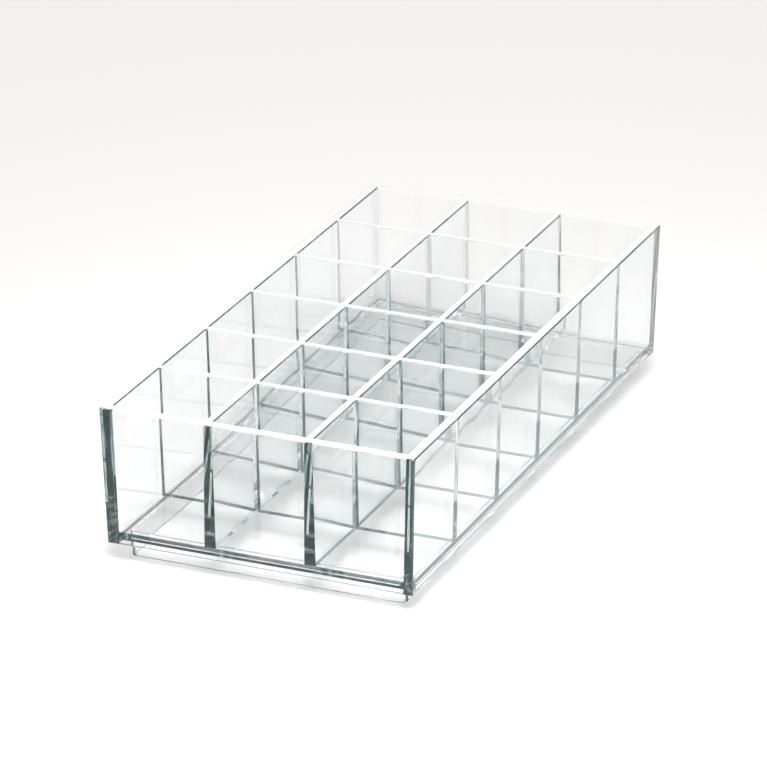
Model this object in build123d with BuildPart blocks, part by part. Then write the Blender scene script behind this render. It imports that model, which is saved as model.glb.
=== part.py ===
from build123d import *
import os

# A clear plastic tray for lipsticks: a tapered box divided into open, nearly square compartments.
# Its sheets butt against each other and are held by a thin film of solvent cement.
# Millimetres, +Z up, X across the front, Y from front to back.
# The origin is the centre of the surface that the tray stands on.

# Outer box
rim_width = 90.0
rim_length = 182.5
body_height = 39.3
draft_inset = 1.05  # how far each outer face steps in from the rim to the underside

# Sheets: the dividers get thicker towards the foot, and the end walls thinner
wall = 3.0
end_wall_foot = 2.0
base_thickness = 2.2
base_recess = 1.0  # height of the base plate's underside above the lower edges of the walls
long_divider_top = 2.3
long_divider_foot = 3.3
cross_panel_top = 2.2
cross_panel_foot = 3.1

# Compartments
columns = 3
rows = 6

# Foot ring under the base plate
foot_height = 5.0  # from the table to the lower edges of the walls
foot_thickness = 1.0
foot_inset_side = 4.1
foot_inset_end = 5.0
foot_corner_radius = 2.0

# Joints and edges
cement_film = 0.02
edge_radius = 0.4

# Heights
underside = foot_height
base_underside = underside + base_recess
floor_top = base_underside + base_thickness
rim = underside + body_height

# Half sizes of the outer box, at the rim and at the underside
rim_half_width = rim_width / 2
rim_half_length = rim_length / 2
low_half_width = rim_half_width - draft_inset
low_half_length = rim_half_length - draft_inset

# Planes that stay inside a wall's thickness from rim to underside: a sheet is cut to one, then trimmed
in_side_wall = (rim_half_width - wall + low_half_width) / 2
in_end_wall = (rim_half_length - wall + low_half_length) / 2

# Centre planes of the dividers
cell_width = (rim_width - 2 * wall - (columns - 1) * long_divider_top) / columns
cell_length = (rim_length - 2 * wall - (rows - 1) * cross_panel_top) / rows
divider_x = [
    wall + i * cell_width + (i - 0.5) * long_divider_top - rim_half_width for i in range(1, columns)
]
panel_y = [
    wall + j * cell_length + (j - 0.5) * cross_panel_top - rim_half_length for j in range(1, rows)
]

os.makedirs("parts", exist_ok=True)


def save(piece, name):
    """Labels a finished piece and writes it."""
    piece.part.label = name
    export_step(piece.part, f"parts/{name}.step")


def wall_section(side, low_half, rim_half, foot=wall, radius=edge_radius, grow=0.0):
    """Section of a leaning outer wall on one side (-1 or 1), its outer edges rounded, grown all round."""
    with BuildSketch() as section:
        with BuildLine():
            Polyline(
                (side * low_half, underside),
                (side * rim_half, rim),
                (side * (rim_half - wall), rim),
                (side * (low_half - foot), underside),
                close=True,
            )
        make_face()
        by_height = section.vertices().group_by(Axis.Y)
        if radius:
            low_outer = by_height[0].sort_by(lambda v: side * v.X)[-1]
            fillet([*by_height[-1], low_outer], radius=radius)
        if grow:
            offset(amount=grow, kind=Kind.INTERSECTION)
    return section.sketch_local


def divider_section(centre, top, foot, grow=0.0):
    """Section of a tapered divider that stands on the base plate, grown all round."""
    with BuildSketch() as section:
        with BuildLine():
            Polyline(
                (centre - foot / 2, floor_top + cement_film),
                (centre - top / 2, rim),
                (centre + top / 2, rim),
                (centre + foot / 2, floor_top + cement_film),
                close=True,
            )
        make_face()
        fillet(section.vertices().group_by(Axis.Y)[-1], radius=edge_radius)
        if grow:
            offset(amount=grow, kind=Kind.INTERSECTION)
    return section.sketch_local


def both_side_walls():
    """Room for the two side walls and their cement, to trim a sheet that meets them."""
    with BuildSketch() as section:
        for side in (-1, 1):
            add(wall_section(side, low_half_width, rim_half_width, grow=cement_film))
    return section.sketch_local


def both_end_walls():
    """Room for the two end walls and their cement, to trim a sheet that meets them."""
    with BuildSketch() as section:
        for side in (-1, 1):
            add(wall_section(side, low_half_length, rim_half_length, foot=end_wall_foot, grow=cement_film))
    return section.sketch_local


# Side walls run the full length of the tray, so that their ends show at the front and the back
for side, name in ((-1, "left_wall"), (1, "right_wall")):
    with BuildPart() as side_wall:
        with BuildSketch(Plane.XZ):
            add(wall_section(side, low_half_width, rim_half_width, radius=0))
        extrude(amount=rim_half_length, both=True)
        with BuildSketch(Plane.YZ):
            with BuildLine():
                Polyline(
                    (-low_half_length, underside),
                    (-rim_half_length, rim),
                    (rim_half_length, rim),
                    (low_half_length, underside),
                    close=True,
                )
            make_face()
        extrude(amount=rim_half_width, both=True, mode=Mode.INTERSECT)
        edges_by_height = side_wall.edges().group_by(Axis.Z)
        low_outer_edges = edges_by_height[0].sort_by(lambda e: side * e.center().X)[1:]
        upright_edges = edges_by_height[1].sort_by(lambda e: side * e.center().X)[-2:]
        fillet([*edges_by_height[-1], *low_outer_edges, *upright_edges], radius=edge_radius)
    save(side_wall, name)

# End walls fit between the side walls
for side, name in ((-1, "front_wall"), (1, "back_wall")):
    with BuildPart() as end_wall:
        with BuildSketch(Plane.YZ):
            add(wall_section(side, low_half_length, rim_half_length, foot=end_wall_foot))
        extrude(amount=in_side_wall, both=True)
        with BuildSketch(Plane.XZ):
            add(both_side_walls())
        extrude(amount=rim_length, both=True, mode=Mode.SUBTRACT)
    save(end_wall, name)

# Base plate, bonded between the four walls a little above their lower edges
with BuildPart() as base_plate:
    with BuildSketch(Plane.XY.offset(base_underside)):
        Rectangle(2 * in_side_wall, 2 * in_end_wall)
    extrude(amount=base_thickness)
    with BuildSketch(Plane.XZ):
        add(both_side_walls())
    extrude(amount=rim_length, both=True, mode=Mode.SUBTRACT)
    with BuildSketch(Plane.YZ):
        add(both_end_walls())
    extrude(amount=rim_width, both=True, mode=Mode.SUBTRACT)
save(base_plate, "base_plate")

# Long dividers run unbroken from the front wall to the back wall, and are numbered from the left
for number, x in enumerate(divider_x, start=1):
    with BuildPart() as long_divider:
        with BuildSketch(Plane.XZ):
            add(divider_section(x, long_divider_top, long_divider_foot))
        extrude(amount=in_end_wall, both=True)
        with BuildSketch(Plane.YZ):
            add(both_end_walls())
        extrude(amount=rim_width, both=True, mode=Mode.SUBTRACT)
    save(long_divider, f"long_divider_{number}")


def column_name(column):
    """A plain name for a column of compartments, counted from the left."""
    if column == 0:
        return "left"
    if column == columns - 1:
        return "right"
    return "middle" if columns == 3 else f"middle_{column}"


# Cross panels: each row has one short panel in each column, trimmed to the sheets beside it
column_planes = [-in_side_wall, *divider_x, in_side_wall]
with BuildSketch() as beside_panels:
    add(both_side_walls())
    for x in divider_x:
        add(divider_section(x, long_divider_top, long_divider_foot, grow=cement_film))
for row, y in enumerate(panel_y, start=1):
    for column, start in enumerate(column_planes[:-1]):
        with BuildPart() as cross_panel:
            with BuildSketch(Plane.YZ.offset(start)):
                add(divider_section(y, cross_panel_top, cross_panel_foot))
            extrude(amount=column_planes[column + 1] - start)
            with BuildSketch(Plane.XZ):
                add(beside_panels.sketch_local)
            extrude(amount=rim_length, both=True, mode=Mode.SUBTRACT)
        save(cross_panel, f"cross_panel_{row}_{column_name(column)}")

# Foot: one thin band on edge under the base plate, bent round at its four corners
foot_half_width = low_half_width - foot_inset_side
foot_half_length = low_half_length - foot_inset_end
with BuildPart() as foot_ring:
    with BuildSketch():
        RectangleRounded(2 * foot_half_width, 2 * foot_half_length, foot_corner_radius)
        offset(amount=-foot_thickness, mode=Mode.SUBTRACT)
    extrude(amount=base_underside - cement_film)
save(foot_ring, "foot_ring")
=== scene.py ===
import math

import bpy
from mathutils import Matrix, Vector


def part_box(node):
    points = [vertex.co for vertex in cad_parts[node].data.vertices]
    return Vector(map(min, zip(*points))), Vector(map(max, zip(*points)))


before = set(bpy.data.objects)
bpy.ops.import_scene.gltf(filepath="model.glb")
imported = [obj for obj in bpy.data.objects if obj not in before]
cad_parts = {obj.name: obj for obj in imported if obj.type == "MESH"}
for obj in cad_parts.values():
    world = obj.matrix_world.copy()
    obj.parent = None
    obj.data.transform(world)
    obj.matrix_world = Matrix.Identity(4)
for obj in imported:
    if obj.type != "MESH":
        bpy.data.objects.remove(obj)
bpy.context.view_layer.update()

MM = 0.001

# The tray's own sizes in millimetres, the same as in the part
RIM_HALF_WIDTH = 45.0
RIM_HALF_LENGTH = 91.25
DRAFT_INSET = 1.05
WALL = 3.0
END_WALL_FOOT = 2.0
LONG_DIVIDER_TOP = 2.3
LONG_DIVIDER_FOOT = 3.3
CROSS_PANEL_TOP = 2.2
CROSS_PANEL_FOOT = 3.1
FOOT_THICKNESS = 1.0
FOOT_CORNER_RADIUS = 2.0
EDGE_RADIUS = 0.4


def box_mm(node):
    """Lowest and highest corner of a node, in millimetres."""
    low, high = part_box(node)
    return Vector(low) / MM, Vector(high) / MM


# Heights and places that the model itself gives, also in millimetres
UNDERSIDE, RIM = (corner.z for corner in box_mm("left_wall"))
BASE_UNDERSIDE, FLOOR_TOP = (corner.z for corner in box_mm("base_plate"))
BODY_HEIGHT = RIM - UNDERSIDE
LONG_DIVIDER_X = abs(sum(corner.x for corner in box_mm("long_divider_1")) / 2)
PANEL_PITCH = abs(sum(corner.y for corner in box_mm("cross_panel_2_left")) / 2)
PANELS_END = 2.5 * PANEL_PITCH  # half a pitch past the last row of cross panels
FOOT_HALF_WIDTH = box_mm("foot_ring")[1].x
FOOT_HALF_LENGTH = box_mm("foot_ring")[1].y

# A joint lies deeper than this inside the whole tray: three times the cement film
JOINT_DEPTH = 0.06

# The blend with which a smooth minimum follows a rounded edge of radius 1
ROUND_BLEND = 6 * (1 - math.sqrt(0.5))


def linear(hex_colour):
    """An sRGB hex colour as linear red, green, blue and alpha."""
    channels = [int(hex_colour[i:i + 2], 16) / 255 for i in (1, 3, 5)]
    return (*[c / 12.92 if c <= 0.04045 else ((c + 0.055) / 1.055) ** 2.4 for c in channels], 1)


def add(tree, kind, settings=None, inputs=None):
    """Adds a node, sets its settings, and sets or links its inputs; a node stands for its first output."""
    node = tree.nodes.new(kind)
    for name, value in (settings or {}).items():
        setattr(node, name, value)
    for name, value in (inputs or {}).items():
        if isinstance(value, bpy.types.Node):
            value = value.outputs[0]
        if isinstance(value, bpy.types.NodeSocket):
            tree.links.new(value, node.inputs[name])
        else:
            node.inputs[name].default_value = value
    return node


def new_material(name):
    """A material with an empty node tree."""
    material = bpy.data.materials.new(name)
    material.use_nodes = True
    material.node_tree.nodes.clear()
    return material


def cemented(tree, place):
    """1 on faces that solvent cement joins to the next sheet, and 0 on faces that meet the air.

    place is in millimetres. The nodes work out how deep it lies in the whole tray, as if that were one
    solid: a face that meets the air has no depth, and a cemented one lies well inside.
    """
    # All four quarters of the tray are alike, so the place is folded into one of them
    point = add(tree, "ShaderNodeVectorMath", {"operation": "ABSOLUTE"}, {0: place})
    x, y, z = add(tree, "ShaderNodeSeparateXYZ", {}, {0: point}).outputs
    rounding = {2: ROUND_BLEND * EDGE_RADIUS}
    lean = DRAFT_INSET / BODY_HEIGHT
    low_half_width = RIM_HALF_WIDTH - DRAFT_INSET
    low_half_length = RIM_HALF_LENGTH - DRAFT_INSET

    # Depth under the leaning outer faces, the rim and the lower edges
    up = add(tree, "ShaderNodeMath", {"operation": "SUBTRACT"}, {0: z, 1: UNDERSIDE})
    faces = add(tree, "ShaderNodeVectorMath", {"operation": "MULTIPLY_ADD"}, {
        0: up, 1: (lean, lean, 0), 2: (low_half_width, low_half_length, RIM)})
    depths = add(tree, "ShaderNodeVectorMath", {"operation": "SUBTRACT"}, {0: faces, 1: point})
    from_side, from_end, from_rim = add(tree, "ShaderNodeSeparateXYZ", {}, {0: depths}).outputs
    skin = add(tree, "ShaderNodeMath", {"operation": "SMOOTH_MIN"}, {0: from_side, 1: from_end, **rounding})
    skin = add(tree, "ShaderNodeMath", {"operation": "SMOOTH_MIN"}, {0: skin, 1: up, **rounding})
    skin = add(tree, "ShaderNodeMath", {"operation": "SMOOTH_MIN"}, {0: skin, 1: from_rim, **rounding})

    # Depth inside the dividers, which get thicker from the rim to the floor. The cross panels repeat evenly.
    share = add(tree, "ShaderNodeMath", {"operation": "DIVIDE"}, {0: from_rim, 1: RIM - FLOOR_TOP})
    long_half = add(tree, "ShaderNodeMath", {"operation": "MULTIPLY_ADD"}, {
        0: share, 1: (LONG_DIVIDER_FOOT - LONG_DIVIDER_TOP) / 2, 2: LONG_DIVIDER_TOP / 2})
    beside_long = add(tree, "ShaderNodeMath", {"operation": "SUBTRACT"}, {0: x, 1: LONG_DIVIDER_X})
    beside_long = add(tree, "ShaderNodeMath", {"operation": "ABSOLUTE"}, {0: beside_long})
    in_long = add(tree, "ShaderNodeMath", {"operation": "SUBTRACT"}, {0: long_half, 1: beside_long})
    cross_half = add(tree, "ShaderNodeMath", {"operation": "MULTIPLY_ADD"}, {
        0: share, 1: (CROSS_PANEL_FOOT - CROSS_PANEL_TOP) / 2, 2: CROSS_PANEL_TOP / 2})
    beside_cross = add(tree, "ShaderNodeMath", {"operation": "PINGPONG"}, {0: y, 1: PANEL_PITCH / 2})
    in_cross = add(tree, "ShaderNodeMath", {"operation": "SUBTRACT"}, {0: cross_half, 1: beside_cross})
    before_end = add(tree, "ShaderNodeMath", {"operation": "SUBTRACT"}, {0: PANELS_END, 1: y})
    in_cross = add(tree, "ShaderNodeMath", {"operation": "MINIMUM"}, {0: in_cross, 1: before_end})
    sheets = add(tree, "ShaderNodeMath", {"operation": "MAXIMUM"}, {0: in_long, 1: in_cross})

    # Depth inside the base plate, which is set in above the lower edges of the walls
    in_base = add(tree, "ShaderNodeMath", {"operation": "SUBTRACT"}, {0: FLOOR_TOP, 1: z})
    sheets = add(tree, "ShaderNodeMath", {"operation": "MAXIMUM"}, {0: sheets, 1: in_base})
    over_recess = add(tree, "ShaderNodeMath", {"operation": "SUBTRACT"}, {0: z, 1: BASE_UNDERSIDE})
    sheets = add(tree, "ShaderNodeMath", {"operation": "MINIMUM"}, {0: sheets, 1: over_recess})

    # Depth inside the side walls and the end walls
    in_side = add(tree, "ShaderNodeMath", {"operation": "SUBTRACT"}, {0: WALL, 1: from_side})
    sheets = add(tree, "ShaderNodeMath", {"operation": "MAXIMUM"}, {0: sheets, 1: in_side})
    low_inner_end = low_half_length - END_WALL_FOOT
    inner_lean = (RIM_HALF_LENGTH - WALL - low_inner_end) / BODY_HEIGHT
    inner_end = add(tree, "ShaderNodeMath", {"operation": "MULTIPLY_ADD"}, {
        0: up, 1: inner_lean, 2: low_inner_end})
    in_end = add(tree, "ShaderNodeMath", {"operation": "SUBTRACT"}, {0: y, 1: inner_end})
    sheets = add(tree, "ShaderNodeMath", {"operation": "MAXIMUM"}, {0: sheets, 1: in_end})
    body = add(tree, "ShaderNodeMath", {"operation": "SMOOTH_MIN"}, {0: skin, 1: sheets, **rounding})

    # Depth inside the foot ring, a band bent round at its corners and cemented to the base plate above it
    corner = (FOOT_HALF_WIDTH - FOOT_CORNER_RADIUS, FOOT_HALF_LENGTH - FOOT_CORNER_RADIUS, RIM)
    beyond = add(tree, "ShaderNodeVectorMath", {"operation": "SUBTRACT"}, {0: point, 1: corner})
    beyond_x, beyond_y, _ = add(tree, "ShaderNodeSeparateXYZ", {}, {0: beyond}).outputs
    bend = add(tree, "ShaderNodeVectorMath", {"operation": "MAXIMUM"}, {0: beyond})
    bend = add(tree, "ShaderNodeVectorMath", {"operation": "LENGTH"}, {0: bend}).outputs["Value"]
    run = add(tree, "ShaderNodeMath", {"operation": "MAXIMUM"}, {0: beyond_x, 1: beyond_y})
    run = add(tree, "ShaderNodeMath", {"operation": "MINIMUM"}, {0: run, 1: 0.0})
    reach = add(tree, "ShaderNodeMath", {"operation": "ADD"}, {0: bend, 1: run})
    in_band = add(tree, "ShaderNodeMath", {"operation": "SUBTRACT"}, {0: FOOT_CORNER_RADIUS, 1: reach})
    off_band = add(tree, "ShaderNodeMath", {"operation": "SUBTRACT"}, {0: FOOT_THICKNESS, 1: in_band})
    foot = add(tree, "ShaderNodeMath", {"operation": "MINIMUM"}, {0: in_band, 1: off_band})
    foot = add(tree, "ShaderNodeMath", {"operation": "MINIMUM"}, {0: foot, 1: z})
    foot = add(tree, "ShaderNodeMath", {"operation": "MINIMUM"}, {0: foot, 1: in_base})

    depth = add(tree, "ShaderNodeMath", {"operation": "MAXIMUM"}, {0: body, 1: foot})
    return add(tree, "ShaderNodeMath", {"operation": "GREATER_THAN"}, {0: depth, 1: JOINT_DEPTH})


# Cast acrylic bends light with an index of 1.49, so its polished faces mirror a little and its edges look
# dark. Light goes straight through a cemented face, because the cement has the same index as the sheet.
ACRYLIC_IOR = 1.49
NO_STEP_IOR = 1.0

# The rim edges are routed flat after the sheets are joined: they scatter the light from above, and so they
# draw the tray's grid in even white lines. The satin skin is as deep as the cutter's marks, in millimetres.
SATIN_WHITE = linear("#C9C9C9")
SATIN_CLEARNESS = 0.15
SATIN_ROUGHNESS = 0.5
SATIN_DEPTH = 0.012

# Cast sheet is never quite flat: it swells by hundredths of a millimetre over a centimetre or so, and that
# makes reflections and the lines seen through it waver a little. Both are in millimetres.
SWELL_LENGTH = 9.0
SWELL_HEIGHT = 0.02


def acrylic(name, tint, density):
    """Cast acrylic sheet with polished faces and satin rim edges, tinted by how far light goes in it."""
    material = new_material(name)
    tree = material.node_tree
    metres = add(tree, "ShaderNodeTexCoord").outputs["Object"]
    place = add(tree, "ShaderNodeVectorMath", {"operation": "SCALE"}, {0: metres, "Scale": 1 / MM})
    height = add(tree, "ShaderNodeSeparateXYZ", {}, {0: place}).outputs["Z"]
    joint = cemented(tree, place)
    index = add(tree, "ShaderNodeMath", {"operation": "MULTIPLY_ADD"}, {
        0: joint, 1: NO_STEP_IOR - ACRYLIC_IOR, 2: ACRYLIC_IOR})
    satin = add(tree, "ShaderNodeMath", {"operation": "GREATER_THAN"}, {0: height, 1: RIM - SATIN_DEPTH})
    colour = add(tree, "ShaderNodeMix", {"data_type": "RGBA"}, {
        "Factor": satin, 6: linear("#FFFFFF"), 7: SATIN_WHITE}).outputs[2]
    roughness = add(tree, "ShaderNodeMath", {"operation": "MULTIPLY"}, {0: satin, 1: SATIN_ROUGHNESS})
    clearness = add(tree, "ShaderNodeMath", {"operation": "MULTIPLY_ADD"}, {
        0: satin, 1: SATIN_CLEARNESS - 1.0, 2: 1.0})
    swell = add(tree, "ShaderNodeTexNoise", {}, {"Vector": place, "Scale": 1 / SWELL_LENGTH, "Detail": 0.0})
    swell = add(tree, "ShaderNodeBump", {}, {"Height": swell, "Distance": SWELL_HEIGHT * MM})
    shader = add(tree, "ShaderNodeBsdfPrincipled", {}, {
        "Base Color": colour, "Roughness": roughness, "IOR": index,
        "Transmission Weight": clearness, "Normal": swell})
    inside = add(tree, "ShaderNodeVolumeAbsorption", {}, {"Color": linear(tint), "Density": density})
    add(tree, "ShaderNodeOutputMaterial", {}, {"Surface": shader, "Volume": inside})
    return material


# The long sheets: clear face on, and dark blue-green where light has run along them to an edge
blue_green_acrylic = acrylic("cast_acrylic_blue_green", "#AFCACC", 30.0)

# The short sheets and the foot: water-clear, so their edges stay pale and grey
clear_acrylic = acrylic("cast_acrylic_clear", "#BEBDBD", 20.0)

LONG_SHEETS = ("base_plate", "left_wall", "right_wall", "long_divider_1", "long_divider_2")
for name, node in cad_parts.items():
    node.data.materials.clear()
    node.data.materials.append(blue_green_acrylic if name in LONG_SHEETS else clear_acrylic)


# White card under the tray, wide enough to fill every view, in metres. It is matt and sends back six tenths
# of the light, so the sky can be strong without washing it out.
CARD_WHITE = linear("#CBCBCB")
CARD_HALF_SIZE = 20.0
CARD_GAP = 0.1 * MM


def white_card():
    """The matt white card that the tray stands on."""
    half = CARD_HALF_SIZE
    mesh = bpy.data.meshes.new("white_card")
    corners = [(-half, -half, 0), (half, -half, 0), (half, half, 0), (-half, half, 0)]
    mesh.from_pydata(corners, [], [(0, 1, 2, 3)])
    material = new_material("matt_white_card")
    tree = material.node_tree
    shader = add(tree, "ShaderNodeBsdfDiffuse", {}, {"Color": CARD_WHITE})
    add(tree, "ShaderNodeOutputMaterial", {}, {"Surface": shader})
    mesh.materials.append(material)
    card = bpy.data.objects.new("white_card", mesh)
    card.location.z = -CARD_GAP
    bpy.context.scene.collection.objects.link(card)


white_card()

# The studio: a bright sky overhead, a dim band under it that the edges of the sheets mirror, and a soft glow
# from there down. The limits are the heights of a direction one long: 0 at the horizon and 1 overhead.
LIGHT_COLOUR = linear("#FFFEFD")
SKY_STRENGTH = 2.12
DIM_STRENGTH = 0.22
LOW_STRENGTH = 0.5
DIM_FROM, DIM_TO = 0.375, 0.385
SKY_FROM, SKY_TO = 0.5, 0.7


def studio():
    """Soft light from all round, set by the height of each direction."""
    world = bpy.data.worlds.new("studio")
    bpy.context.scene.world = world
    world.use_nodes = True
    tree = world.node_tree
    tree.nodes.clear()
    direction = add(tree, "ShaderNodeTexCoord").outputs["Generated"]
    height = add(tree, "ShaderNodeSeparateXYZ", {}, {0: direction}).outputs["Z"]
    low = add(tree, "ShaderNodeMapRange", {"interpolation_type": "SMOOTHSTEP"}, {
        "Value": height, "From Min": DIM_FROM, "From Max": DIM_TO,
        "To Min": LOW_STRENGTH, "To Max": DIM_STRENGTH})
    strength = add(tree, "ShaderNodeMapRange", {"interpolation_type": "SMOOTHSTEP"}, {
        "Value": height, "From Min": SKY_FROM, "From Max": SKY_TO, "To Min": low, "To Max": SKY_STRENGTH})
    light = add(tree, "ShaderNodeBackground", {}, {"Color": LIGHT_COLOUR, "Strength": strength})
    add(tree, "ShaderNodeOutputWorld", {}, {"Surface": light})


studio()

# A soft lamp near the front right corner, in metres and watts: the card is brightest there
LAMP_PLACE = Vector((0.12, -0.22, 0.32))
LAMP_AIM = Vector((0.05, -0.06, 0.0))
LAMP_SIZE = 0.25
LAMP_SPREAD = math.radians(70)
LAMP_POWER = 0.37


def soft_lamp():
    """A square softbox with a grid, which keeps its light on the front right of the tray."""
    data = bpy.data.lights.new("soft_lamp", "AREA")
    data.energy = LAMP_POWER
    data.size = LAMP_SIZE
    data.spread = LAMP_SPREAD
    data.color = LIGHT_COLOUR[:3]
    lamp = bpy.data.objects.new("soft_lamp", data)
    lamp.location = LAMP_PLACE
    lamp.rotation_euler = (LAMP_AIM - LAMP_PLACE).to_track_quat("-Z", "Y").to_euler()
    bpy.context.scene.collection.objects.link(lamp)


soft_lamp()

# The camera stands in front, a little to the right, and looks down on the tray. Its angles are in degrees,
# its distances in metres, and its lens and sensor in millimetres.
CAMERA_AZIMUTH = 23.183
CAMERA_ELEVATION = 22.748
CAMERA_ROLL = -0.233
CAMERA_DISTANCE = 1.4102
CAMERA_TARGET = Vector((-2.243, -0.816, UNDERSIDE + 18.0)) * MM
CAMERA_LENS = 239.4
CAMERA_SENSOR = 36
CAMERA_REACH = 50


def camera():
    """A long lens from the photograph's viewing angle."""
    azimuth, elevation = math.radians(CAMERA_AZIMUTH), math.radians(CAMERA_ELEVATION)
    back = Vector((
        math.sin(azimuth) * math.cos(elevation),
        -math.cos(azimuth) * math.cos(elevation),
        math.sin(elevation),
    ))
    right = Vector((0, 0, 1)).cross(back).normalized()
    up = back.cross(right)
    data = bpy.data.cameras.new("camera")
    data.lens = CAMERA_LENS
    data.sensor_width = CAMERA_SENSOR
    data.clip_end = CAMERA_REACH
    stand = bpy.data.objects.new("camera", data)
    turn = Matrix((right, up, back)).transposed().to_4x4()
    roll = Matrix.Rotation(math.radians(CAMERA_ROLL), 4, "Z")
    stand.matrix_world = Matrix.Translation(CAMERA_TARGET + back * CAMERA_DISTANCE) @ turn @ roll
    bpy.context.scene.collection.objects.link(stand)
    bpy.context.scene.camera = stand


camera()

# Light bounces many times inside a sheet before it leaves by the far edge, and only a few times off the card
SHEET_BOUNCES = 64
CARD_BOUNCES = 4

scene = bpy.context.scene
scene.view_settings.view_transform = "Standard"
scene.cycles.max_bounces = SHEET_BOUNCES
scene.cycles.glossy_bounces = SHEET_BOUNCES
scene.cycles.transmission_bounces = SHEET_BOUNCES
scene.cycles.transparent_max_bounces = SHEET_BOUNCES
scene.cycles.diffuse_bounces = CARD_BOUNCES
scene.cycles.blur_glossy = 0.0
scene.cycles.caustics_reflective = True
scene.cycles.caustics_refractive = True
